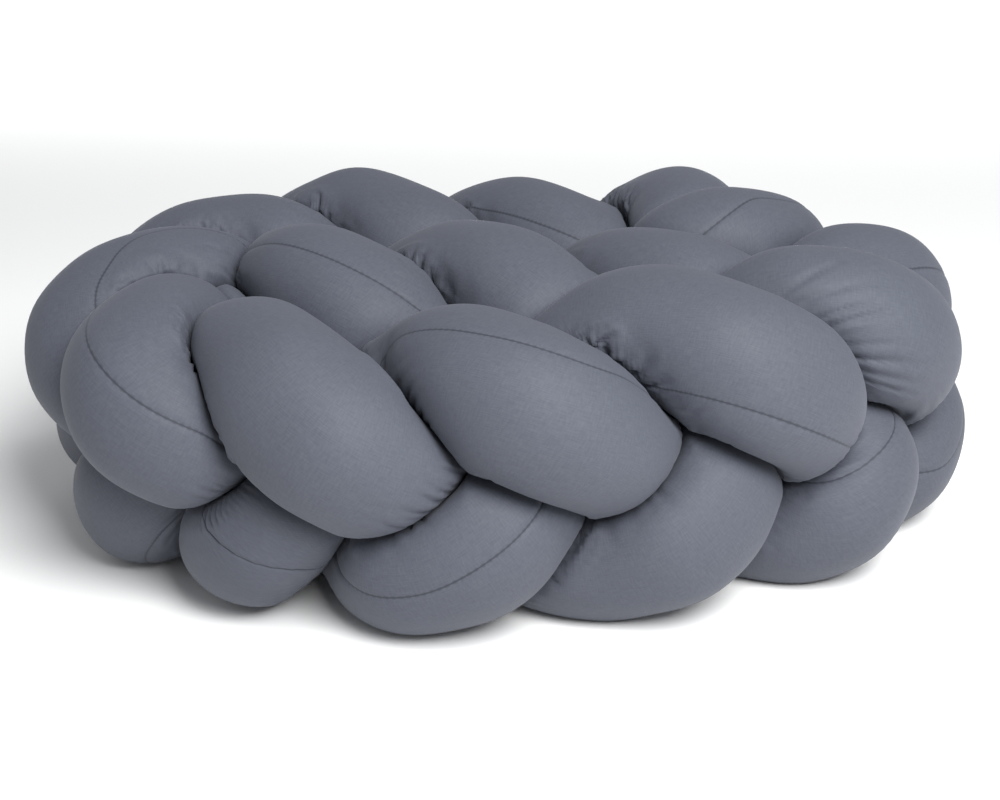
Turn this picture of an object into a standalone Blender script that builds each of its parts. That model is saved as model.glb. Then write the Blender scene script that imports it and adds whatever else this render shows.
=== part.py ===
"""Braided crib bumper, rolled up for storage.

Three stuffed cotton tubes are plaited into a flat braid about two metres long.  The braid stands on
its edge and is rolled up into an oval of one and a half turns, three rows deep.  Every tube is one
closed solid: round where it lies free, pressed flat where it meets another tube, and flat below
where it rests on the floor.  Lengths are in metres, +Z is up and the origin is the middle of the
footprint, on the floor.
"""
from itertools import combinations

import bmesh
import bpy
import numpy as np
from mathutils.bvhtree import BVHTree

# Driving dimensions
TUBE_RADIUS = 0.058       # a tube's radius where nothing presses on it
BOTTOM = 0.050            # height of a tube's middle line in a lobe that rests on the floor
SLIT = 0.0030             # clear space left between two tubes that touch
SELF_SLIT = 0.03          # the same between two turns of one tube, as a share of their distance
ROUNDED_END = 0.050       # length over which a tube's end closes
FIRMNESS = 9.0            # power that blends a round side into a pressed one; higher is sharper

# Fineness of the solids
SIDES = 20                # corners of a cross-section
SECTIONS = 112            # cross-sections of a tube, without those of the rounded ends
END_STEPS = (0.001, 0.008, 0.020)   # cross-sections added at each end, as distances from its tip
LENGTH_POINTS = 4000      # points along each middle line from which its length is measured
GUIDE_POINTS = 500        # points along each middle line that the other tubes are measured against
REACH = 0.25              # guide points farther off than this press on nothing
OWN_STRETCH = 0.025       # a tube doesn't press on its own next 25 mm
CLEARANCE = 0.0006        # each tube keeps this much to itself beyond its flat faces
EASING = 0.0005           # how far a face that comes nearer is drawn in, each time
EASING_PASSES = 20
TINY = 1e-5               # keeps a division away from zero

# The route of the braid, a row for each lobe that shows on its top edge, from the inner end of the
# roll to the outer end.  x, y: the middle of the braid on the floor plan.  top: height of a tube's
# middle line in that lobe.  depth: how far a tube swings out to either face of the braid.  lean: how
# far the top edge tips towards the outer face, and the bottom edge the other way.
#  lobe      x       y      top    depth    lean
ROUTE = np.array((
    (0,  -0.215,  0.030,  0.140,  0.026,  0.000),
    (1,  -0.137,  0.006,  0.185,  0.038,  0.000),
    (2,   0.002,  0.005,  0.184,  0.038,  0.000),
    (3,   0.122,  0.012,  0.180,  0.038,  0.000),
    (4,   0.183,  0.085,  0.190,  0.036,  0.000),
    (5,   0.158,  0.170,  0.182,  0.036,  0.000),
    (6,   0.033,  0.167,  0.172,  0.036,  0.000),
    (7,  -0.102,  0.172,  0.182,  0.036,  0.000),
    (8,  -0.210,  0.134,  0.172,  0.036,  0.000),
    (9,  -0.267,  0.031,  0.175,  0.036,  0.001),
    (10, -0.231, -0.071,  0.170,  0.038,  0.026),
    (11, -0.148, -0.127,  0.176,  0.042,  0.020),
    (12, -0.010, -0.149,  0.176,  0.042,  0.008),
    (13,  0.131, -0.115,  0.188,  0.042,  0.004),
    (14,  0.232, -0.054,  0.188,  0.038,  0.005),
    (15,  0.280,  0.045,  0.174,  0.036, -0.003),
    (16,  0.262,  0.152,  0.135,  0.026,  0.000),
))
LOBES = len(ROUTE) - 1

# A soft braid isn't even: here a tube lies off its regular place, by x, y and z, most at a lobe
# number and less up to `reach` lobes away.
#   tube   lobe   reach      x       y       z
NUDGES = (
    (0,    9.00,   0.60,   0.003,  0.000,  0.000),
    (0,   10.50,   0.50,   0.000,  0.008,  0.000),
    (0,   11.60,   0.50,   0.000,  0.000, -0.020),
    (0,   12.15,   0.60,  -0.013,  0.000,  0.001),
    (0,   12.55,   0.45,  -0.012,  0.000, -0.002),
    (0,   13.60,   0.60,   0.015,  0.009,  0.000),
    (0,   14.55,   0.45,   0.016,  0.000, -0.022),
    (1,    0.40,   0.90,  -0.020, -0.006,  0.000),
    (1,    3.70,   0.40,   0.008,  0.000,  0.006),
    (1,    6.65,   0.40,   0.006,  0.000,  0.005),
    (1,    7.00,   0.50,   0.000,  0.000, -0.004),
    (1,    9.55,   0.45,  -0.012, -0.002, -0.008),
    (1,   10.45,   0.45,  -0.002,  0.000,  0.000),
    (1,   11.50,   0.45,   0.000, -0.003,  0.000),
    (1,   12.75,   0.50,   0.000,  0.000,  0.005),
    (2,    5.40,   0.40,   0.008,  0.000,  0.000),
    (2,    9.50,   0.50,  -0.009, -0.013,  0.000),
    (2,    9.90,   0.45,  -0.008,  0.000,  0.000),
    (2,   10.70,   0.50,  -0.024, -0.004, -0.004),
    (2,   11.40,   0.50,   0.000, -0.001, -0.007),
    (2,   12.25,   0.45,  -0.014, -0.009,  0.000),
    (2,   12.75,   0.45,  -0.007,  0.006,  0.000),
    (2,   13.55,   0.40,   0.008,  0.000, -0.010),
)
TUBES = ("braid_tube_a", "braid_tube_b", "braid_tube_c")
COTTON_GREY = (0.15, 0.16, 0.19, 1.0)


def route_at(lobe):
    """Natural cubic spline through the route's rows, without its first column, at lobe numbers."""
    rows = ROUTE[:, 1:]
    inner = 4 * np.eye(LOBES - 1) + np.eye(LOBES - 1, k=1) + np.eye(LOBES - 1, k=-1)
    bend = np.zeros_like(rows)
    bend[1:-1] = np.linalg.solve(inner, 6 * np.diff(rows, 2, axis=0))
    row = np.clip(np.floor(lobe).astype(int), 0, LOBES - 1)
    after = (lobe - row)[:, None]
    before = 1 - after
    return (before * rows[row] + after * rows[row + 1]
            + (before**3 - before) / 6 * bend[row] + (after**3 - after) / 6 * bend[row + 1])


def middle_line(tube, lobe):
    """Points of a tube's middle line at lobe numbers.

    A tube swings once up and down over three lobes, and twice from face to face, which plaits it
    over one neighbour and under the other.  With a = 120 degrees times (lobe - tube), it lies
    depth sin(2a) + lean cos(a) out from the middle of the braid, and its height goes between
    top and BOTTOM as cos(a) goes between 1 and -1.  A nudge adds its offset times a bell,
    (1 + cos(180 degrees times the share of its reach)) / 2.
    """
    x, y, top, depth, lean = route_at(lobe).T
    step = 0.001
    along = (route_at(lobe + step) - route_at(lobe - step))[:, :2]
    along /= np.linalg.norm(along, axis=1)[:, None]
    swing = 2 * np.pi * (lobe - tube) / 3
    outward = depth * np.sin(2 * swing) + lean * np.cos(swing)
    height = (top + BOTTOM) / 2 + (top - BOTTOM) / 2 * np.cos(swing)
    line = np.column_stack((x + along[:, 1] * outward, y - along[:, 0] * outward, height))
    for nudged, most_at, reach, *offset in NUDGES:
        if nudged == tube:
            near = np.clip(np.abs(lobe - most_at) / reach, 0, 1)
            line += (0.5 + 0.5 * np.cos(np.pi * near))[:, None] * np.array(offset)
    return line


def measured_line(tube, stations):
    """Points of a middle line at distances along it, which stations(length) gives."""
    lobe = np.linspace(0, LOBES, LENGTH_POINTS)
    steps = np.linalg.norm(np.diff(middle_line(tube, lobe), axis=0), axis=1)
    distance = np.concatenate(((0.0,), np.cumsum(steps)))
    at = stations(distance[-1])
    return middle_line(tube, np.interp(at, distance, lobe)), at


def guide_stations(length):
    return np.linspace(0, length, GUIDE_POINTS)


def section_stations(length):
    ends = np.array(END_STEPS)
    evenly = np.linspace(2 * ends[-1], length - 2 * ends[-1], SECTIONS)
    return np.concatenate((ends, evenly, length - ends[::-1]))


def spokes(line):
    """Directions of each cross-section's corners: square to the line, and carried without twist."""
    ahead = np.gradient(line, axis=0)
    ahead /= np.linalg.norm(ahead, axis=1)[:, None]
    side = np.zeros_like(line)
    start = np.cross(ahead[0], (0, 0, 1))
    side[0] = start / np.linalg.norm(start)
    for i in range(1, len(line)):
        turned = side[i - 1] - ahead[i] * (side[i - 1] @ ahead[i])
        side[i] = turned / np.linalg.norm(turned)
    above = np.cross(ahead, side)
    angle = np.arange(SIDES) * 2 * np.pi / SIDES
    return (side[:, None] * np.cos(angle)[None, :, None]
            + above[:, None] * np.sin(angle)[None, :, None])


def room(line, at, directions, tube, guides):
    """Length that each spoke may have before it meets a tube, this one's other turns included.

    Two tubes share the space between them evenly, so a spoke in direction d from point p stops
    where it is as near to the other middle line's point q as to p:
    |q - p|^2 / (2 d . (q - p)), or (|q - p|^2 - g^2) / (2 (d . (q - p) + g)) with a slit of 2 g.
    """
    half_slit = SLIT / 2
    limit = np.full(directions.shape[:2], REACH)
    for other, (guide, guide_at) in enumerate(guides):
        for i, point in enumerate(line):
            gap = guide - point
            square = (gap**2).sum(axis=1)
            near = square < REACH**2
            if other == tube:
                near &= np.abs(guide_at - at[i]) > OWN_STRETCH
            if not near.any():
                continue
            facing = directions[i] @ gap[near].T
            if other == tube:
                shares = (1 - SELF_SLIT) * square[near], facing
            else:
                shares = square[near] - half_slit**2, facing + half_slit
            stops = np.where(shares[1] > TINY, shares[0] / (2 * np.maximum(shares[1], TINY)), REACH)
            limit[i] = np.minimum(limit[i], stops.min(axis=1))
    return limit


def tube_sections(tube, guides):
    """Corners of a tube's cross-sections, shape (sections, SIDES, 3), and the spokes' directions."""
    line, at = measured_line(tube, section_stations)
    directions = spokes(line)
    from_tip = np.clip(np.minimum(at, at[-1] + at[0] - at) / ROUNDED_END, 0, 1)
    radius = TUBE_RADIUS * np.sqrt(1 - (1 - from_tip)**2)
    limit = room(line, at, directions, tube, guides)
    length = (radius[:, None]**-FIRMNESS + limit**-FIRMNESS)**(-1 / FIRMNESS)
    downward = np.maximum(-directions[..., 2], TINY)
    to_floor = np.where(directions[..., 2] < 0, line[:, None, 2] / downward, REACH)
    corners = line[:, None] + np.minimum(length, to_floor)[..., None] * directions
    corners[..., 2] = np.maximum(corners[..., 2], 0)
    return corners, directions


def skin_faces(sections):
    """Corner numbers of the four-sided faces between cross-sections, section by section."""
    faces = []
    for start in range(0, (sections - 1) * SIDES, SIDES):
        for i in range(SIDES):
            j = (i + 1) % SIDES
            faces.append((start + i, start + j, start + SIDES + j, start + SIDES + i))
    return faces


def ease_apart(shapes):
    """Draws tubes in, a little at a time, where their flat faces come too near each other's."""
    faces = [skin_faces(len(corners)) for corners, directions in shapes]
    for _ in range(EASING_PASSES):
        trees = [BVHTree.FromPolygons((corners + CLEARANCE * directions).reshape(-1, 3).tolist(), face)
                 for (corners, directions), face in zip(shapes, faces)]
        meeting = [set() for _ in shapes]
        for one, other in combinations(range(len(shapes)), 2):
            for face_of_one, face_of_other in trees[one].overlap(trees[other]):
                meeting[one].update(faces[one][face_of_one])
                meeting[other].update(faces[other][face_of_other])
        if not any(meeting):
            return
        for (corners, directions), met in zip(shapes, meeting):
            section, side = np.divmod(np.array(sorted(met), dtype=int), SIDES)
            corners[section, side] -= EASING * directions[section, side]


def cotton(name):
    material = bpy.data.materials.new(name)
    material.use_nodes = True
    surface = material.node_tree.nodes["Principled BSDF"]
    surface.inputs["Base Color"].default_value = COTTON_GREY
    surface.inputs["Roughness"].default_value = 0.9
    surface.inputs["Metallic"].default_value = 0.0
    return material


def loft(name, sections, collection):
    """One closed skin through the cross-sections, with a flat face over each end."""
    mesh = bpy.data.meshes.new(name)
    skin = bmesh.new()
    corners = [skin.verts.new(corner) for corner in sections.reshape(-1, 3)]
    for face in skin_faces(len(sections)):
        skin.faces.new([corners[i] for i in face])
    skin.faces.new(corners[:SIDES][::-1])
    skin.faces.new(corners[-SIDES:])
    bmesh.ops.recalc_face_normals(skin, faces=skin.faces)
    skin.to_mesh(mesh)
    skin.free()
    mesh.shade_smooth()
    mesh.materials.append(cotton(name + "_cotton"))
    collection.objects.link(bpy.data.objects.new(name, mesh))


def main():
    for item in list(bpy.data.objects):
        bpy.data.objects.remove(item)
    collection = bpy.data.collections.new("braided_crib_bumper")
    bpy.context.scene.collection.children.link(collection)

    guides = [measured_line(tube, guide_stations) for tube in range(len(TUBES))]
    shapes = [tube_sections(tube, guides) for tube in range(len(TUBES))]
    ease_apart(shapes)
    everything = np.concatenate([corners.reshape(-1, 3) for corners, directions in shapes])
    centre = (everything.min(axis=0) + everything.max(axis=0)) / 2
    centre[2] = 0
    for name, (corners, directions) in zip(TUBES, shapes):
        loft(name, corners - centre, collection)


main()
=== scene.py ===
# %% [markdown]
# # A braided crib bumper, rolled up
#
# A maker sews three long tubes of grey cotton, stuffs them until they are plump, plaits them like
# hair and closes the ends.  Here the braid stands on its edge and is rolled up into an oval.
#
# The construction file has the three tubes as plain solids.  This file gives them their looks: the
# smooth, fine skin, the long seam of each tube, the puckers where the cloth is bent, and the weave.
# Lengths are in metres and +Z is up.

import bpy
import numpy as np
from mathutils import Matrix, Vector


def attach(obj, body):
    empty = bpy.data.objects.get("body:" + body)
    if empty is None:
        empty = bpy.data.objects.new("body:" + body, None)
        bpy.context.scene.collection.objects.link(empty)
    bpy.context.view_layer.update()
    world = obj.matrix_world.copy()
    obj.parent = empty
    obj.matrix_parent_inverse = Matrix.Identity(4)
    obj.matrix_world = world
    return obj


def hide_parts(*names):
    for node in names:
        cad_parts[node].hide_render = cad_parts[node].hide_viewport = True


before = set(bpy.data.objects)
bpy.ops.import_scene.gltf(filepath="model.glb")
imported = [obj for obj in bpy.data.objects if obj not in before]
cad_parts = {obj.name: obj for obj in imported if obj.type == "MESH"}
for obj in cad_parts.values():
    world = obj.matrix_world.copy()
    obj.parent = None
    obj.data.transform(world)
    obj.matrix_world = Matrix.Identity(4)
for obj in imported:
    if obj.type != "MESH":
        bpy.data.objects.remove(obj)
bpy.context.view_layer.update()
TUBES = ("braid_tube_a", "braid_tube_b", "braid_tube_c")

# %% [markdown]
# ## The route of the braid
#
# A braid could be drawn by hand, tube by tube, but then the tubes easily run through each other.  A
# formula is safer.  The braid's own middle follows a table with one row for each lobe that shows on
# its top edge, and a tube swings round that middle: once up and down in three lobes, and twice from
# one face to the other.  That is what makes it pass over one neighbour and under the next.

# %% The route, a row for each lobe on the braid's top edge
# x, y: the braid's middle on the floor plan.  top: height of a tube's middle line in that lobe.
# depth: how far a tube swings out to either face.  lean: how far the top edge tips outwards.
#  lobe      x       y      top    depth    lean
ROUTE = np.array((
    (0,  -0.215,  0.030,  0.140,  0.026,  0.000),
    (1,  -0.137,  0.006,  0.185,  0.038,  0.000),
    (2,   0.002,  0.005,  0.184,  0.038,  0.000),
    (3,   0.122,  0.012,  0.180,  0.038,  0.000),
    (4,   0.183,  0.085,  0.190,  0.036,  0.000),
    (5,   0.158,  0.170,  0.182,  0.036,  0.000),
    (6,   0.033,  0.167,  0.172,  0.036,  0.000),
    (7,  -0.102,  0.172,  0.182,  0.036,  0.000),
    (8,  -0.210,  0.134,  0.172,  0.036,  0.000),
    (9,  -0.267,  0.031,  0.175,  0.036,  0.001),
    (10, -0.231, -0.071,  0.170,  0.038,  0.026),
    (11, -0.148, -0.127,  0.176,  0.042,  0.020),
    (12, -0.010, -0.149,  0.176,  0.042,  0.008),
    (13,  0.131, -0.115,  0.188,  0.042,  0.004),
    (14,  0.232, -0.054,  0.188,  0.038,  0.005),
    (15,  0.280,  0.045,  0.174,  0.036, -0.003),
    (16,  0.262,  0.152,  0.135,  0.026,  0.000),
))
LOBES = len(ROUTE) - 1

# A soft braid isn't even: here a tube lies off its regular place, by x, y and z, most at a lobe
# number and less up to `reach` lobes away.
#   tube   lobe   reach      x       y       z
NUDGES = (
    (0,    9.00,   0.60,   0.003,  0.000,  0.000),
    (0,   10.50,   0.50,   0.000,  0.008,  0.000),
    (0,   11.60,   0.50,   0.000,  0.000, -0.020),
    (0,   12.15,   0.60,  -0.013,  0.000,  0.001),
    (0,   12.55,   0.45,  -0.012,  0.000, -0.002),
    (0,   13.60,   0.60,   0.015,  0.009,  0.000),
    (0,   14.55,   0.45,   0.016,  0.000, -0.022),
    (1,    0.40,   0.90,  -0.020, -0.006,  0.000),
    (1,    3.70,   0.40,   0.008,  0.000,  0.006),
    (1,    6.65,   0.40,   0.006,  0.000,  0.005),
    (1,    7.00,   0.50,   0.000,  0.000, -0.004),
    (1,    9.55,   0.45,  -0.012, -0.002, -0.008),
    (1,   10.45,   0.45,  -0.002,  0.000,  0.000),
    (1,   11.50,   0.45,   0.000, -0.003,  0.000),
    (1,   12.75,   0.50,   0.000,  0.000,  0.005),
    (2,    5.40,   0.40,   0.008,  0.000,  0.000),
    (2,    9.50,   0.50,  -0.009, -0.013,  0.000),
    (2,    9.90,   0.45,  -0.008,  0.000,  0.000),
    (2,   10.70,   0.50,  -0.024, -0.004, -0.004),
    (2,   11.40,   0.50,   0.000, -0.001, -0.007),
    (2,   12.25,   0.45,  -0.014, -0.009,  0.000),
    (2,   12.75,   0.45,  -0.007,  0.006,  0.000),
    (2,   13.55,   0.40,   0.008,  0.000, -0.010),
)
BOTTOM = 0.050          # height of a tube's middle line where it rests on the floor
STEP = 0.001            # lobes to either side of a place, to find the braid's direction there
LENGTH_POINTS = 6000    # a middle line's length is measured as this many short stretches


def through_rows(rows, at):
    """Smooth curve through evenly numbered rows, read at the numbers `at`.

    A natural cubic spline: between two rows the value is their straight mix, plus a cubic part
    that makes slope and bend run on smoothly from one stretch to the next.
    """
    last = len(rows) - 1
    inner = 4 * np.eye(last - 1) + np.eye(last - 1, k=1) + np.eye(last - 1, k=-1)
    bend = np.zeros_like(rows)
    bend[1:-1] = np.linalg.solve(inner, 6 * np.diff(rows, 2, axis=0))
    row = np.clip(np.floor(at).astype(int), 0, last - 1)
    after = (at - row)[:, None]
    before = 1 - after
    return (before * rows[row] + after * rows[row + 1]
            + (before**3 - before) / 6 * bend[row] + (after**3 - after) / 6 * bend[row + 1])


def middle_line(tube, lobe):
    """A tube's middle line at lobe numbers.

    With a = 120 degrees times (lobe - tube), the tube lies depth * sin(2a) + lean * cos(a) out from
    the braid's middle, and its height goes between top and BOTTOM as cos(a) goes from 1 to -1.
    A nudge adds its x, y and z times 0.5 + 0.5 cos(180 degrees times the distance over reach).
    """
    x, y, top, depth, lean = through_rows(ROUTE[:, 1:], lobe).T
    ahead, behind = (through_rows(ROUTE[:, 1:3], lobe + step) for step in (STEP, -STEP))
    along = (ahead - behind) / np.linalg.norm(ahead - behind, axis=1)[:, None]
    swing = 2 * np.pi * (lobe - tube) / 3
    outward = depth * np.sin(2 * swing) + lean * np.cos(swing)
    height = (top + BOTTOM) / 2 + (top - BOTTOM) / 2 * np.cos(swing)
    line = np.column_stack((x + along[:, 1] * outward, y - along[:, 0] * outward, height))
    for nudged, most_at, reach, *offset in NUDGES:
        if nudged == tube:
            near = np.clip(np.abs(lobe - most_at) / reach, 0, 1)
            line += (0.5 + 0.5 * np.cos(np.pi * near))[:, None] * np.array(offset)
    return line


def measured_line(tube, count):
    """The middle line as `count` points at even distances, those distances and their lobe numbers."""
    fine = np.linspace(0, LOBES, LENGTH_POINTS)
    steps = np.linalg.norm(np.diff(middle_line(tube, fine), axis=0), axis=1)
    distance = np.concatenate(((0.0,), np.cumsum(steps)))
    at = np.linspace(0, distance[-1], count)
    lobe = np.interp(at, distance, fine)
    return middle_line(tube, lobe), at, lobe


for tube, name in enumerate(TUBES):
    print(f"{name}: {measured_line(tube, 10)[1][-1]:.2f} m of stuffed tube")

# %% [markdown]
# ## Tubes that press on each other
#
# A real tube is round only where nothing touches it.  Blender's cloth can look for the pressed
# shape with collisions.  Here it is worked out instead, because a formula gives the same clean
# contacts each time.  From every point of a middle line, spokes reach out in all directions.  A
# spoke ends at the free radius, or earlier at the place that is just as near to another tube's
# middle line: there the two tubes share the room and lie flat against each other.

# %% Spokes, and the room they have
FREE_RADIUS = 0.058     # a tube's radius where nothing presses on it
SLIT = 0.0007           # left between two tubes that touch
OWN_SHARE = 0.98        # a tube keeps this share of the room between two of its own turns
FIRMNESS = 9.0          # blends the free round into the pressed flat; higher is sharper
ROUNDED_END = 0.050     # length over which a tube's end closes
REACH = 0.25            # a middle line farther off than this presses on nothing
NEXT_TO_ITSELF = 0.025  # a tube's middle line doesn't press on the stretch so near along it
TINY = 1e-5             # keeps a division from a number near zero
FULL_PRESS = 1.06       # free radius over room at which a neighbour presses in full
RINGS = 880
GUIDES = 1000


def carried_axes(line):
    """Two axes square to a line, carried along it without twisting."""
    ahead = np.gradient(line, axis=0)
    ahead /= np.linalg.norm(ahead, axis=1)[:, None]
    side = np.zeros_like(line)
    side[0] = np.cross(ahead[0], (0, 0, 1))
    side[0] /= np.linalg.norm(side[0])
    for ring in range(1, len(line)):
        side[ring] = side[ring - 1] - ahead[ring] * (side[ring - 1] @ ahead[ring])
        side[ring] /= np.linalg.norm(side[ring])
    return side, np.cross(ahead, side)


def room(line, at, spokes, tube, guides):
    """How long each spoke may be before another tube, or another turn of its own, has the room.

    A spoke in direction d from p meets the plane halfway to a point q of another middle line at
    |q - p|^2 / (2 d . (q - p)).  A slit of 2 g makes that (|q - p|^2 - g^2) / (2 (d . (q - p) + g)).
    """
    half_slit = SLIT / 2
    limit = np.full(spokes.shape[:2], REACH)
    for other, (guide, guide_at, _) in enumerate(guides):
        for ring, point in enumerate(line):
            gap = guide - point
            square = (gap**2).sum(axis=1)
            near = square < REACH**2
            if other == tube:
                near &= np.abs(guide_at - at[ring]) > NEXT_TO_ITSELF
            if not near.any():
                continue
            facing = spokes[ring] @ gap[near].T
            if other == tube:
                top, below = OWN_SHARE * square[near], facing
            else:
                top, below = square[near] - half_slit**2, facing + half_slit
            stop = np.where(below > TINY, top / (2 * np.maximum(below, TINY)), REACH)
            limit[ring] = np.minimum(limit[ring], stop.min(axis=1))
    return limit


guides = [measured_line(tube, GUIDES) for tube in range(len(TUBES))]
print(len(guides), "middle lines of", GUIDES, "points that the tubes are pressed against")

# %% [markdown]
# ## Columns that follow the seam
#
# Each tube is one strip of cloth, folded lengthwise and sewn along its edges, so one long seam runs
# the whole way and wanders round the tube, because plaiting twists it.  If the mesh's columns
# start at the seam, with a few extra ones close to it, the stitched line is a real groove and
# stays crisp, which a voxel remesh would blur.

# %% Where each seam runs
# Pairs of a lobe number and the seam's place there, in degrees round the tube from its side axis.
SEAM_TURN = {
    "braid_tube_a": ((0, 240), (3, 200), (5.7, 256), (6.1, 252), (8.9, 315), (9.06, 312), (9.22, 296),
                     (9.4, 294), (10.3, 345), (10.86, 387), (11.04, 540), (11.15, 552), (11.4, 552),
                     (11.6, 462), (11.9, 384), (12.2, 362), (12.43, 346), (13.6, 372), (13.8, 405),
                     (13.88, 420), (14.0, 449), (14.1, 467), (14.5, 444), (15.2, 413), (16, 405)),
    "braid_tube_b": ((0, 258), (0.9, 272), (1.05, 263), (1.33, 249), (2.5, 270), (3.8, 292), (3.88, 286),
                     (4.04, 262), (5.5, 262), (9.0, 248), (10.15, 238), (10.3, 230), (10.5, 223),
                     (11.0, 262), (11.6, 290), (11.72, 304), (11.83, 310), (12.07, 307), (13.0, 299),
                     (13.18, 289), (13.41, 275), (13.6, 262), (14.2, 264), (14.68, 280), (14.77, 296),
                     (16, 296)),
    "braid_tube_c": ((0, 180), (9.0, 176), (9.79, 166), (10.05, 155), (10.6, 172), (16, 172)),
}
GIRTH = 2 * np.pi * FREE_RADIUS
COLUMNS = 165
BY_THE_SEAM = np.array((0.0012, 0.0028, 0.0055))      # extra columns at these distances from it
SEAM_MARGIN = 0.0090                                  # the evenly spaced columns start here
SEAM_SOFTENING = 9                                    # rings that its place is averaged over


def columns():
    """Distances round the tube from the seam, 0 to GIRTH, closer together beside the seam."""
    evenly = np.linspace(SEAM_MARGIN, GIRTH - SEAM_MARGIN, COLUMNS - 1 - 2 * len(BY_THE_SEAM))
    return np.concatenate(((0.0,), BY_THE_SEAM, evenly, GIRTH - BY_THE_SEAM[::-1]))


def softened(values, width):
    """Values along the tube, averaged over `width` neighbours with a bell of weights."""
    bell = np.hanning(width + 2)[1:-1]
    padded = np.pad(values, (width // 2, width // 2), mode="edge")
    return np.convolve(padded, bell / bell.sum(), "valid")


def seam_turn(name, lobe):
    """The seam's place in radians at lobe numbers: straight between its pairs, then softened."""
    numbers, degrees = np.array(SEAM_TURN[name], float).T
    return softened(np.radians(np.interp(lobe, numbers, degrees)), SEAM_SOFTENING)


AROUND = columns()
FROM_SEAM = np.minimum(AROUND, GIRTH - AROUND)
print(len(AROUND), "columns,", f"{np.diff(AROUND).max() * 1000:.1f} mm apart away from the seam")

# %% [markdown]
# ## Puckers
#
# Cotton doesn't shrink, so where a tube bends, the cloth on the inner side of the bend is too long.
# It gathers into short troughs that start in the crease between two tubes, run out over the lobe
# and fade after a few centimetres.  Each trough is a narrow valley with a swelling on either side.
# How strong it is follows the grip: how close the cloth is to where a neighbour holds it.

# %% Troughs on the inner side of the bends
PUCKER_DEPTH = 0.0022
PUCKER_SPACING = (0.005, 0.017)     # between two troughs along the middle line, least and most
PUCKER_WIDTH = (0.0026, 0.0048)
PUCKER_REACH = 0.035                # past this distance along the tube a trough is left out
PUCKERED_BEND = (0.35, 0.75)        # bend times radius where puckers begin, and are full
GRIP_REACH = 0.019                  # a neighbour's hold fades over this distance round the tube
HOLD_STARTS = 0.94                  # free radius over room at which a neighbour begins to hold
BEND_SOFTENING = 13                 # points that the bend is averaged over
GRIP_SOFTENING = 7                  # rings that the grip is averaged over


def bending(line, at):
    """Bend of the middle line as a vector towards the inner side, one over the radius long."""
    slope = np.gradient(line, at, axis=0)
    bend = np.gradient(slope, at, axis=0)
    return np.column_stack([softened(axis, BEND_SOFTENING) for axis in bend.T])


def smooth_step(value, low, high):
    """0 below low, 1 above high, and 3 t^2 - 2 t^3 in between."""
    t = np.clip((value - low) / (high - low), 0, 1)
    return t * t * (3 - 2 * t)


def grip(limit):
    """How firmly a neighbour holds the cloth: 1 where it presses, fading round the tube.

    Each ring's pressed columns are blurred round the tube by a bell exp(-0.5 (d / GRIP_REACH)^2),
    and the result is doubled, because at the edge of a contact half of the bell is pressed.
    """
    pressed = smooth_step(FREE_RADIUS / limit, HOLD_STARTS, FULL_PRESS)
    apart = np.abs(AROUND[:, None] - AROUND)
    apart = np.minimum(apart, GIRTH - apart)
    share = np.gradient(np.append(AROUND, GIRTH))[:-1]
    bell = np.exp(-0.5 * (apart / GRIP_REACH)**2) * share
    blurred = pressed @ (bell / bell.sum(axis=1)[:, None]).T
    held = np.clip(2 * blurred, 0, 1)
    return np.column_stack([softened(column, GRIP_SOFTENING) for column in held.T])


def puckers(at, turn, inner_turn, held, tightness, seed):
    """Depth of the puckers in metres at every point of the grid (rings, columns).

    A trough's cross-section along the tube is exp(-q^2) - 0.5 exp(-(q / 2)^2), with q the distance
    from its middle over its width.  Its strength is the grip to a power of its own, which sets
    how far it runs out over the lobe.
    """
    rng = np.random.default_rng(seed)
    depth = np.zeros_like(turn)
    place = 0.0
    while place < at[-1]:
        place += rng.uniform(*PUCKER_SPACING)
        width = rng.uniform(*PUCKER_WIDTH)
        power = rng.uniform(0.45, 1.8)
        one_sided = rng.uniform(-0.8, 0.8)
        slant = rng.uniform(-0.008, 0.008)
        curl = rng.uniform(-0.004, 0.004)
        strength = rng.uniform(0.2, 1.0)
        near = np.abs(at - place) < PUCKER_REACH
        if not near.any():
            continue
        middle = np.argmin(np.abs(at - place))
        strength *= smooth_step(tightness[middle], *PUCKERED_BEND)
        away = (turn[near] - inner_turn[middle] + np.pi) % (2 * np.pi) - np.pi
        beside = at[near, None] - place - slant * away - curl * away**2
        q = beside / (width * (0.8 + 0.35 * np.abs(away)))
        side = 1 + one_sided * np.tanh(2 * away)
        depth[near] += strength * side * held[near]**power * (np.exp(-q**2) - 0.5 * np.exp(-(q / 2)**2))
    return PUCKER_DEPTH * depth


nearest, farthest = (1000 * spacing for spacing in PUCKER_SPACING)
print(f"a trough every {nearest:.0f} to {farthest:.0f} mm along a tube, where its cloth gathers")

# %% [markdown]
# ## Fans of creases
#
# At some places the stuffing pushes the cloth past a neighbour's edge, and a whole fan of creases
# spreads from there.  Those places are listed: a stretch of the tube's skin where the
# creases start, the way they head at either end of it, and how many there are.

# %% Where creases fan out
# The stretch runs from (lobe, turn) to (lobe, turn), turns in degrees.  A heading of 0 runs on along
# the tube, 90 runs round it.  Length in metres; depth as a share of CREASE_DEPTH.
CREASE_DEPTH = 0.0056
CREASE_REACH = 0.07     # past this distance along the tube a crease is left out
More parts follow.
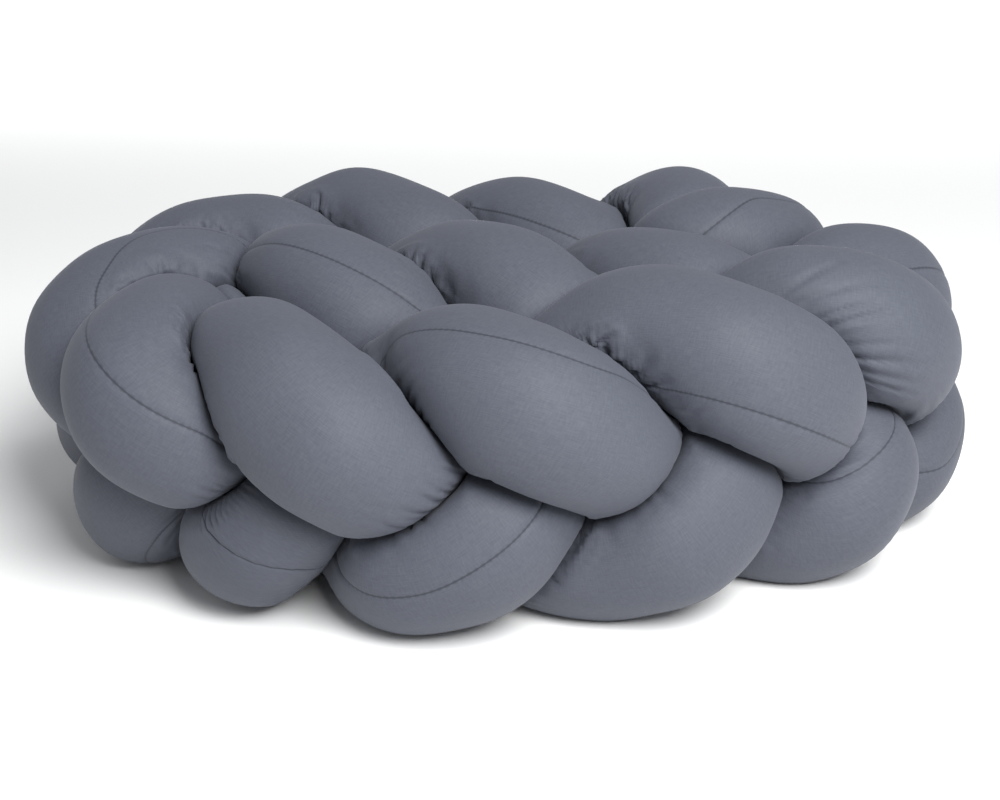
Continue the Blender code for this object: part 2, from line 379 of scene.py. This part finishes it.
#   tube  lobe   turn  heading  lobe   turn  heading  creases  length  depth
FANS = (
    (1, 10.06,  148,   104,   10.42,  158,    88,     10,    0.056,  1.00),
    (1, 10.60,  238,   185,   10.58,  270,   180,      5,    0.034,  0.50),
    (2, 11.62,   14,   185,   11.56,   66,   175,      7,    0.036,  0.75),
    (1, 11.62,  262,    85,   11.85,  250,    75,      7,    0.032,  0.90),
    (0, 11.90,   50,   320,   12.02,   92,   310,      7,    0.030,  0.85),
    (1, 12.74,  262,   345,   12.98,  300,   332,      6,    0.046,  0.80),
    (1, 13.14,  304,   290,   13.30,  304,   280,      4,    0.022,  0.50),
    (2, 13.96,   14,   318,   14.17,   84,   352,      8,    0.060,  1.20),
    (2, 14.50,   66,   185,   14.46,   92,   175,      5,    0.036,  0.80),
    (2, 12.48,   84,     0,   12.54,   64,   350,      5,    0.036,  0.80),
    (2, 12.40,  118,     0,   12.42,   98,     0,      4,    0.034,  0.60),
    (2, 12.60,   34,    75,   12.92,   24,    90,      7,    0.034,  0.80),
    (0, 13.78,   46,    65,   13.96,   62,    85,      6,    0.028,  0.70),
    (0, 13.50,   84,    20,   13.52,  100,    20,      3,    0.026,  0.50),
    (1, 13.54,  255,   180,   13.54,  277,   170,      4,    0.018,  0.50),
    (1,  7.14,  140,   135,    6.92,  138,   130,      6,    0.026,  0.70),
    (2,  7.70,  356,   280,    7.82,  348,   275,      5,    0.026,  0.60),
    (1,  1.26,  214,   135,    1.42,  246,   150,      7,    0.024,  0.70),
    (2,  1.66,   34,     0,    1.84,   66,   350,      7,    0.036,  0.90),
    (0,  8.78,  285,    10,    8.84,  252,   350,      6,    0.030,  0.90),
    (0,  6.22,  238,   180,    6.16,  262,   180,      4,    0.022,  0.60),
    (2,  5.34,  300,   180,    5.30,  325,   180,      4,    0.022,  0.60),
    (2, 10.16,  132,   190,   10.06,  166,   180,      6,    0.034,  0.80),
    (0,  2.74,  284,     0,    2.86,  315,   350,      4,    0.022,  0.40),
)


def creases(tube, at, lobe, turn):
    """Depth of a tube's fanned creases in metres at every point of the grid (rings, columns).

    With s the distance from a crease's start along its heading and w the distance beside it, the
    cross-section is exp(-(w / width)^2) - 0.4 exp(-(w / (2 width))^2), and it fades out at s = length.
    """
    rng = np.random.default_rng(40 + tube)
    depth = np.zeros_like(turn)
    for fan in (row[1:] for row in FANS if row[0] == tube):
        start, end = np.array(fan[0:3], float), np.array(fan[3:6], float)
        count, longest, share = fan[6:]
        for number in range(count):
            part = (number + rng.uniform(-0.3, 0.3)) / (count - 1)
            its_lobe, its_turn, heading = start + part * (end - start)
            place = np.interp(its_lobe, lobe, at)
            heading = np.radians(heading + rng.uniform(-8, 8))
            length = longest * rng.uniform(0.55, 1.15)
            strength = share * rng.uniform(0.45, 1.0)
            width = rng.uniform(0.0019, 0.0032)
            near = np.abs(at - place) < CREASE_REACH
            along = (at[near] - place)[:, None]
            around = (turn[near] - np.radians(its_turn) + np.pi) % (2 * np.pi) - np.pi
            around = around * FREE_RADIUS
            s = (along * np.cos(heading) + around * np.sin(heading)) / length
            w = around * np.cos(heading) - along * np.sin(heading)
            w = w / (width * (0.75 + 0.5 * np.clip(s, 0, 1)))
            fade = smooth_step(1 - s, 0, 0.85) * smooth_step(s, -0.6, -0.1)
            depth[near] += strength * fade * (np.exp(-w**2) - 0.4 * np.exp(-(w / 2)**2))
    return CREASE_DEPTH * depth


print(len(FANS), "fans with", sum(fan[7] for fan in FANS), "creases")

# %% The stuffing isn't quite even
LUMP_HEIGHT = 0.0011
LUMP_LENGTH = (0.06, 0.12)
LUMP_WAVES = 14


def lumps(points):
    """Low swellings of the stuffing: LUMP_WAVES sine waves in random directions, added up.

    The sum is divided by the square root of half their number, its usual size.
    """
    rng = np.random.default_rng(7)
    height = np.zeros(points.shape[:-1])
    for _ in range(LUMP_WAVES):
        direction = rng.normal(size=3)
        direction *= 2 * np.pi / rng.uniform(*LUMP_LENGTH) / np.linalg.norm(direction)
        height += np.sin(points @ direction + rng.uniform(0, 2 * np.pi))
    return LUMP_HEIGHT * height / np.sqrt(LUMP_WAVES / 2)


print(f"lumps of the stuffing are about {LUMP_HEIGHT * 1000:.1f} mm high")


# %% [markdown]
# ## From formula to mesh
#
# The grid of rings and columns becomes a mesh with one face for each cell.  Every point also keeps
# two facts that the cloth's material reads: its distance from the seam, and how tightly the
# cloth is gathered there.  The UV map counts metres round and along the tube, so that the weave
# keeps one size.  It is drawn out only where a tube is pressed thin or its seam winds steeply.

# %% The skin of one tube
SEAM_DEPTH = 0.0010
SEAM_WIDTH = 0.0016     # half the groove's width
RIDGE_PLACE = 0.0042    # the cloth swells a little on either side of the groove
RIDGE_WIDTH = 0.0022
RIDGE_SHARE = 0.35      # how high it swells, as a share of the groove's depth
BEND_CROWDING = 1.6             # rings are closer in a tight bend by this share
CROWDED_BEND = (0.25, 0.8)      # bend times radius where they begin to crowd, and are closest
HIDDEN_SHARE = 0.65             # how close rings are in the first lobes, as a share of the rest
HIDDEN_LOBES = (2.5, 4)         # lobe numbers between which that share grows to 1
END_CROWDING = 2.1              # how much closer rings are where an end closes
LUMPS_FADE = (0.85, 1.0)        # free radius over room where lumps begin to fade, and are gone
PIN_STARTS = 0.98               # free radius over room at which the cloth begins to be pinned
NEAR_FLOOR = 1.02               # a spoke's way to the floor over the free radius where pins begin
CLOSED_END = (0.1, 0.6)         # share of ROUNDED_END that is left plain, and where all is full
INNER_SIDE = (-0.25, 0.30)      # inward part of bend times radius where gathers begin, and are full
STEEP_SEAM = (1.0, 2.5)         # metres round per metre along where puckers fade, and are gone
TIP_SHARE = 0.0005              # keeps the first and last ring open, as a share of ROUNDED_END


def closer_in_bends(tube):
    """Distances along a tube for its rings: closer in tight bends, wider in the hidden first lobes."""
    line, at, lobe = guides[tube]
    tightness = np.linalg.norm(bending(line, at), axis=1) * FREE_RADIUS
    bent = 1 + BEND_CROWDING * smooth_step(tightness, *CROWDED_BEND)
    crowding = bent * (HIDDEN_SHARE + (1 - HIDDEN_SHARE) * smooth_step(lobe, *HIDDEN_LOBES))
    crowding[(at < ROUNDED_END) | (at > at[-1] - ROUNDED_END)] = END_CROWDING
    count = np.concatenate(((0.0,), np.cumsum((crowding[1:] + crowding[:-1]) / 2 * np.diff(at))))
    return np.interp(np.linspace(0, count[-1], RINGS), count, at)


def tube_grid(tube, name):
    """Points (rings, columns, 3) of a tube's skin, its distances along, its grip and its pins.

    Puckers fade where the seam winds steeply round the tube, because the columns slant there.
    """
    at = closer_in_bends(tube)
    lobe = np.interp(at, *guides[tube][1:])
    line = middle_line(tube, lobe)
    side, above = carried_axes(line)
    turn = seam_turn(name, lobe)[:, None] + AROUND / FREE_RADIUS
    spokes = side[:, None] * np.cos(turn)[..., None] + above[:, None] * np.sin(turn)[..., None]
    limit = room(line, at, spokes, tube, guides)
    from_tip = np.clip(np.minimum(at, at[-1] - at) / ROUNDED_END, TIP_SHARE, 1)
    radius = (FREE_RADIUS * np.sqrt(1 - (1 - from_tip)**2))[:, None]
    length = (radius**-FIRMNESS + limit**-FIRMNESS)**(-1 / FIRMNESS)

    bend = bending(line, at)
    winding = np.abs(np.gradient(turn[:, 0], at)) * FREE_RADIUS
    tightness = np.linalg.norm(bend, axis=1) * FREE_RADIUS * (1 - smooth_step(winding, *STEEP_SEAM))
    inner_turn = np.unwrap(np.arctan2((bend * above).sum(axis=1), (bend * side).sum(axis=1)))
    inner_side = (spokes * bend[:, None]).sum(axis=2) * FREE_RADIUS
    held = grip(limit) * smooth_step(inner_side, *INNER_SIDE)
    whole = smooth_step(from_tip, *CLOSED_END)[:, None]
    pressed = smooth_step(FREE_RADIUS / limit, *LUMPS_FADE)
    length = length + whole * (1 - pressed) * lumps(line[:, None] + length[..., None] * spokes)
    length = length - whole * puckers(at, turn, inner_turn, held, tightness, seed=11 + tube)
    length = length - whole * creases(tube, at, lobe, turn)
    groove = np.exp(-(FROM_SEAM / SEAM_WIDTH)**2)
    ridge = RIDGE_SHARE * np.exp(-((FROM_SEAM - RIDGE_PLACE) / RIDGE_WIDTH)**2)
    length = length - SEAM_DEPTH * (groove - ridge) * whole

    downward = np.maximum(-spokes[..., 2], TINY)
    to_floor = np.where(spokes[..., 2] < 0, line[:, None, 2] / downward, REACH)
    points = line[:, None] + np.minimum(length, to_floor)[..., None] * spokes
    on_floor = smooth_step(to_floor, FREE_RADIUS * NEAR_FLOOR, FREE_RADIUS)
    pinned = np.maximum(smooth_step(FREE_RADIUS / limit, PIN_STARTS, FULL_PRESS), on_floor)
    pinned = np.maximum(pinned, 1 - whole)
    return points, at, held, pinned


def closed_tube(name, points):
    """A mesh object from a grid of points, with one face for a cell and a cap on either end."""
    rings, count = points.shape[:2]
    ring, column = np.meshgrid(np.arange(rings - 1), np.arange(count), indexing="ij")
    following = (column + 1) % count
    faces = np.stack((ring * count + column, ring * count + following,
                      (ring + 1) * count + following, (ring + 1) * count + column), axis=-1)
    caps = [list(range(count))[::-1], list(range((rings - 1) * count, rings * count))]
    mesh = bpy.data.meshes.new(name)
    mesh.from_pydata(points.reshape(-1, 3).tolist(), [], faces.reshape(-1, 4).tolist() + caps)
    piece = bpy.data.objects.new(name, mesh)
    bpy.context.scene.collection.objects.link(piece)
    return piece, ring, column


grids = [tube_grid(tube, name) for tube, name in enumerate(TUBES)]
everything = np.concatenate([grid[0].reshape(-1, 3) for grid in grids])
middle_of_print = (everything.min(axis=0) + everything.max(axis=0)) / 2
middle_of_print[2] = 0
print(sum(grid[0].shape[0] * grid[0].shape[1] for grid in grids), "points in three skins")

# %% [markdown]
# ## Letting the cloth settle
#
# The placed creases are only where the cloth begins to buckle.  Blender's cloth finishes them.  It
# is pinned where a neighbour or the floor presses on it, it gets spare length where it is
# gathered, and the stuffing pushes it outwards, so the creases sharpen and the rest draws smooth.
# A few steps are enough.  No point may move far, so that the tubes hardly run into each other:
# where they press, the skins may overlap by a millimetre or so, out of sight.

# %% Cloth simulation
SETTLING_STEPS = 5
SPARE_CLOTH = 0.3       # share by which gathered cloth is too long
PLUMPING = 0.006        # share by which the rest is too long, taken up by the stuffing's push
FARTHEST_MOVE = 0.006
WEIGHT_STEPS = 20       # a vertex group's weights are rounded to this many steps


def weigh(piece, title, weights):
    """A vertex group with these weights, rounded to steps; points that weigh nothing stay out."""
    group = piece.vertex_groups.new(name=title)
    steps = np.round(weights.ravel() * WEIGHT_STEPS).astype(int)
    for step in range(1, WEIGHT_STEPS + 1):
        group.add(np.flatnonzero(steps == step).tolist(), step / WEIGHT_STEPS, "REPLACE")


def settled(name, points, held, pinned):
    """The grid's points after a short cloth simulation, none farther than FARTHEST_MOVE away."""
    piece = closed_tube(name, points)[0]
    weigh(piece, "pinned", pinned)
    weigh(piece, "taut", 1 - held)
    modifier = piece.modifiers.new("cloth", "CLOTH")
    modifier.point_cache.frame_start, modifier.point_cache.frame_end = 1, SETTLING_STEPS
    cloth = modifier.settings
    cloth.quality = 4
    cloth.mass = 0.01
    cloth.shear_stiffness, cloth.bending_stiffness = 3, 0.01
    cloth.tension_damping = cloth.compression_damping = cloth.shear_damping = 0.1
    cloth.bending_damping = 0.05
    cloth.vertex_group_mass = "pinned"
    cloth.vertex_group_shrink = "taut"
    cloth.shrink_max, cloth.shrink_min = -PLUMPING, -SPARE_CLOTH
    cloth.use_pressure = True
    cloth.uniform_pressure_force = 300
    cloth.effector_weights.gravity = 0
    modifier.collision_settings.use_collision = False
    for step in range(1, SETTLING_STEPS + 1):
        bpy.context.scene.frame_set(step)
    moved = piece.evaluated_get(bpy.context.evaluated_depsgraph_get()).data
    places = np.empty(points.size, dtype=np.float32)
    moved.vertices.foreach_get("co", places)
    move = places.reshape(points.shape) - points
    far = np.linalg.norm(move, axis=2, keepdims=True)
    bpy.data.objects.remove(piece)
    bpy.context.scene.frame_set(1)
    result = points + move * np.minimum(1, FARTHEST_MOVE / np.maximum(far, TINY))
    result[..., 2] = np.maximum(result[..., 2], 0)
    print(f"{name}: cloth moved up to {min(far.max(), FARTHEST_MOVE) * 1000:.1f} mm")
    return result


def skin(name, points, at, gathered):
    """The finished cover of a tube: closed, with its UV map in metres and its attributes."""
    piece, ring, column = closed_tube(name, points)
    mesh, count = piece.data, points.shape[1]
    right = np.append(AROUND, GIRTH)
    u = np.stack((right[column], right[column + 1], right[column + 1], right[column]), axis=-1)
    v = np.stack((at[ring], at[ring], at[ring + 1], at[ring + 1]), axis=-1)
    uv = np.stack((u, v), axis=-1).reshape(-1, 2)
    cap_uv = np.zeros((2 * count, 2))
    layer = mesh.uv_layers.new(name="cloth")
    layer.data.foreach_set("uv", np.concatenate((uv, cap_uv)).ravel())
    for title, values in (("from_seam", np.broadcast_to(FROM_SEAM, points.shape[:2])),
                          ("gathered", gathered)):
        attribute = mesh.attributes.new(title, "FLOAT", "POINT")
        attribute.data.foreach_set("value", np.ascontiguousarray(values, dtype=np.float32).ravel())
    mesh.shade_smooth()
    return piece


skins = []
for name, (points, at, gathered, pinned) in zip(TUBES, grids):
    points = points - middle_of_print
    points = settled(name + "_settling", points, gathered, pinned)
    piece = skin(name + "_cover", points, at, gathered)
    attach(piece, "root")
    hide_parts(name)
    skins.append(piece)
    print(piece.name, len(piece.data.polygons), "faces")

# %% [markdown]
# ## The cotton
#
# The cover is plain-woven cotton, piece-dyed slate grey.  Up close the yarns are uneven, so faint
# darker and lighter threads run both ways.  The surface is matt with a soft bloom at grazing
# angles, from loose fibre ends.  Colours are picked as sRGB hex values and turned to linear.

# %% Colour and node helpers
def linear(hex_colour):
    """An sRGB colour such as "#6b7080" as linear red, green, blue and alpha."""
    parts = np.array([int(hex_colour[i:i + 2], 16) / 255 for i in (1, 3, 5)])
    curve = np.where(parts <= 0.04045, parts / 12.92, ((parts + 0.055) / 1.055)**2.4)
    return (*map(float, curve), 1.0)


def add(tree, kind, settings=None, **links):
    """Adds a node; settings name its properties and inputs, links name what feeds its inputs."""
    node = tree.nodes.new(kind)
    for key, value in (settings or {}).items():
        if hasattr(node, key):
            setattr(node, key, value)
        else:
            node.inputs[key.replace("_", " ")].default_value = value
    for key, source in links.items():
        socket = int(key[1:]) if key[1:].isdigit() else key.replace("_", " ")
        tree.links.new(source, node.inputs[socket])
    return node


print("a middle grey, #808080, is", round(linear("#808080")[0], 3), "in linear light")

# %% Plain-woven cotton, dyed slate grey
THREAD = 0.0008         # real yarns are 0.35 mm apart; drawn coarser so that they show
SLUB = 0.006            # length over which a yarn stays thick or thin
STITCH = 0.0028         # length of one stitch in the seam
ONE_BAND = 0.314        # Blender's band texture at this scale has one band for each unit
GATHER_LINES = (11.0, 190.0, 1.0)       # soft lines in a metre: round the tube, and along it
CLOUDS = 9.0                            # patches of slightly uneven dye in a metre


def plain_woven_cotton():
    """Smooth dyed cotton with uneven yarns both ways, a darker sewn line and fine gathers."""
    material = bpy.data.materials.new("plain_woven_slate_cotton")
    material.use_nodes = True
    tree = material.node_tree
    surface = tree.nodes["Principled BSDF"]
    surface.inputs["Roughness"].default_value = 0.66
    surface.inputs["Specular IOR Level"].default_value = 0.28
    surface.inputs["Sheen Weight"].default_value = 0.12
    surface.inputs["Sheen Roughness"].default_value = 0.5
    surface.inputs["Sheen Tint"].default_value = linear("#c3c6d2")

    uv = add(tree, "ShaderNodeUVMap", {"uv_map": "cloth"}).outputs["UV"]
    lengthwise = add(tree, "ShaderNodeMapping", {"Scale": (1 / THREAD, 1 / SLUB, 1)}, Vector=uv)
    crosswise = add(tree, "ShaderNodeMapping", {"Scale": (1 / SLUB, 1 / THREAD, 1)}, Vector=uv)
    noise = {"Scale": 1.0, "Detail": 2.0, "Roughness": 0.6}
    warp = add(tree, "ShaderNodeTexNoise", noise, Vector=lengthwise.outputs[0]).outputs["Fac"]
    weft = add(tree, "ShaderNodeTexNoise", noise, Vector=crosswise.outputs[0]).outputs["Fac"]
    yarns = add(tree, "ShaderNodeMath", {"operation": "ADD"}, _0=warp, _1=weft).outputs[0]

    place = add(tree, "ShaderNodeTexCoord").outputs["Object"]
    cloudy = {"Scale": CLOUDS, "Detail": 3.0}
    clouds = add(tree, "ShaderNodeTexNoise", cloudy, Vector=place).outputs["Fac"]
    thread_tone = add(tree, "ShaderNodeMapRange", {"From_Min": 0.65, "From_Max": 1.35}, Value=yarns)
    dyed = add(tree, "ShaderNodeMix", {"data_type": "RGBA"}, Factor=thread_tone.outputs[0])
    dyed.inputs["A"].default_value = linear("#484b56")
    dyed.inputs["B"].default_value = linear("#535761")
    multiply = {"data_type": "RGBA", "blend_type": "MULTIPLY"}
    patchy = add(tree, "ShaderNodeMix", multiply, Factor=clouds)
    tree.links.new(dyed.outputs["Result"], patchy.inputs["A"])
    patchy.inputs["B"].default_value = linear("#f3f2ef")

    from_seam = add(tree, "ShaderNodeAttribute", {"attribute_name": "from_seam"}).outputs["Fac"]
    stitch_rows = add(tree, "ShaderNodeMapping", {"Scale": (0.0, 1 / STITCH, 1)}, Vector=uv)
    across = {"wave_type": "BANDS", "bands_direction": "Y", "Scale": ONE_BAND, "Distortion": 0.0}
    stitches = add(tree, "ShaderNodeTexWave", across, Vector=stitch_rows.outputs[0]).outputs["Fac"]
    line_edge = add(tree, "ShaderNodeMapRange", {"To_Min": 0.0009, "To_Max": 0.0017}, Value=stitches)
    thread_dark = {"From_Min": 0.0001, "To_Min": 0.25, "To_Max": 1.0}
    off_line = add(tree, "ShaderNodeMapRange", thread_dark,
                   Value=from_seam, From_Max=line_edge.outputs[0]).outputs[0]
    sewn = add(tree, "ShaderNodeMix", {"data_type": "RGBA"}, Factor=off_line)
    sewn.inputs["A"].default_value = linear("#22252b")
    tree.links.new(patchy.outputs["Result"], sewn.inputs["B"])
    tree.links.new(sewn.outputs["Result"], surface.inputs["Base Color"])

    gathered = add(tree, "ShaderNodeAttribute", {"attribute_name": "gathered"}).outputs["Fac"]
    gather_lines = add(tree, "ShaderNodeMapping", {"Scale": GATHER_LINES}, Vector=uv)
    plain = {"Scale": 1.0, "Detail": 1.0}
    gathers = add(tree, "ShaderNodeTexNoise", plain, Vector=gather_lines.outputs[0]).outputs["Fac"]
    height = add(tree, "ShaderNodeMath", {"operation": "MULTIPLY"}, _0=gathers, _1=gathered).outputs[0]
    deep = {"Strength": 1.0, "Distance": 0.0028}
    gather_bump = add(tree, "ShaderNodeBump", deep, Height=height).outputs["Normal"]
    fine = {"Strength": 0.35, "Distance": 0.0003}
    yarn_bump = add(tree, "ShaderNodeBump", fine, Height=yarns, Normal=gather_bump).outputs["Normal"]
    tree.links.new(yarn_bump, surface.inputs["Normal"])
    return material


cotton = plain_woven_cotton()
for piece in skins:
    piece.data.materials.append(cotton)
print(cotton.name, "has", len(cotton.node_tree.nodes), "nodes")

# %% [markdown]
# ## Floor, light and camera
#
# The roll stands on a pale floor.  A soft box shines on it from the front, the right and well
# above, so the lobes are brightest where they face up and forwards, and the creases between them
# stay dark.  A second soft box keeps the floor behind the roll pale.

# %% Floor
FLOOR_SIDE = 12.0


def pale_floor():
    """A large square of matt white, level with the roll's flat underside."""
    mesh = bpy.data.meshes.new("floor")
    half = FLOOR_SIDE / 2
    corners = [(-half, -half, 0), (half, -half, 0), (half, half, 0), (-half, half, 0)]
    mesh.from_pydata(corners, [], [(0, 1, 2, 3)])
    floor = bpy.data.objects.new("floor", mesh)
    bpy.context.scene.collection.objects.link(floor)
    matt = bpy.data.materials.new("matt_white_floor")
    matt.use_nodes = True
    matt.node_tree.nodes["Principled BSDF"].inputs["Base Color"].default_value = linear("#f8f8f7")
    matt.node_tree.nodes["Principled BSDF"].inputs["Roughness"].default_value = 0.9
    mesh.materials.append(matt)
    return floor


print(pale_floor().name, "is", FLOOR_SIDE, "m wide")

# %% Light
def soft_box(name, place, aim, width, height, power, spread=180):
    """A rectangular area light at a place, turned towards a point; spread is its beam in degrees."""
    light = bpy.data.lights.new(name, "AREA")
    light.shape = "RECTANGLE"
    light.size, light.size_y, light.energy = width, height, power
    light.spread = np.radians(spread)
    lamp = bpy.data.objects.new(name, light)
    lamp.location = place
    lamp.rotation_euler = (Vector(aim) - Vector(place)).to_track_quat("-Z", "Y").to_euler()
    bpy.context.scene.collection.objects.link(lamp)
    print(f"{name}: {width} by {height} m, {power} W")


soft_box("front_soft_box", (0.75, -1.5, 1.85), (0, 0, 0.1), 1.3, 1.3, 98)
soft_box("floor_soft_box", (-0.4, 2.3, 1.6), (-0.4, 2.3, 0), 4.6, 1.2, 44, spread=70)
world = bpy.data.worlds.new("pale_room")
world.use_nodes = True
world.node_tree.nodes["Background"].inputs["Color"].default_value = linear("#f6f8fb")
world.node_tree.nodes["Background"].inputs["Strength"].default_value = 0.42
bpy.context.scene.world = world
bpy.context.scene.view_settings.view_transform = "Standard"

# %% Camera
EYE = (-0.005, -1.510, 0.720)
AIM = (-0.005, -0.010, 0.105)
camera = bpy.data.objects.new("camera", bpy.data.cameras.new("camera"))
camera.data.lens = 74.2
camera.data.sensor_width = 36.0
camera.location = EYE
camera.rotation_euler = (Vector(AIM) - Vector(EYE)).to_track_quat("-Z", "Y").to_euler()
bpy.context.scene.collection.objects.link(camera)
bpy.context.scene.camera = camera
print(f"camera with a {camera.data.lens:.1f} mm lens at", EYE)
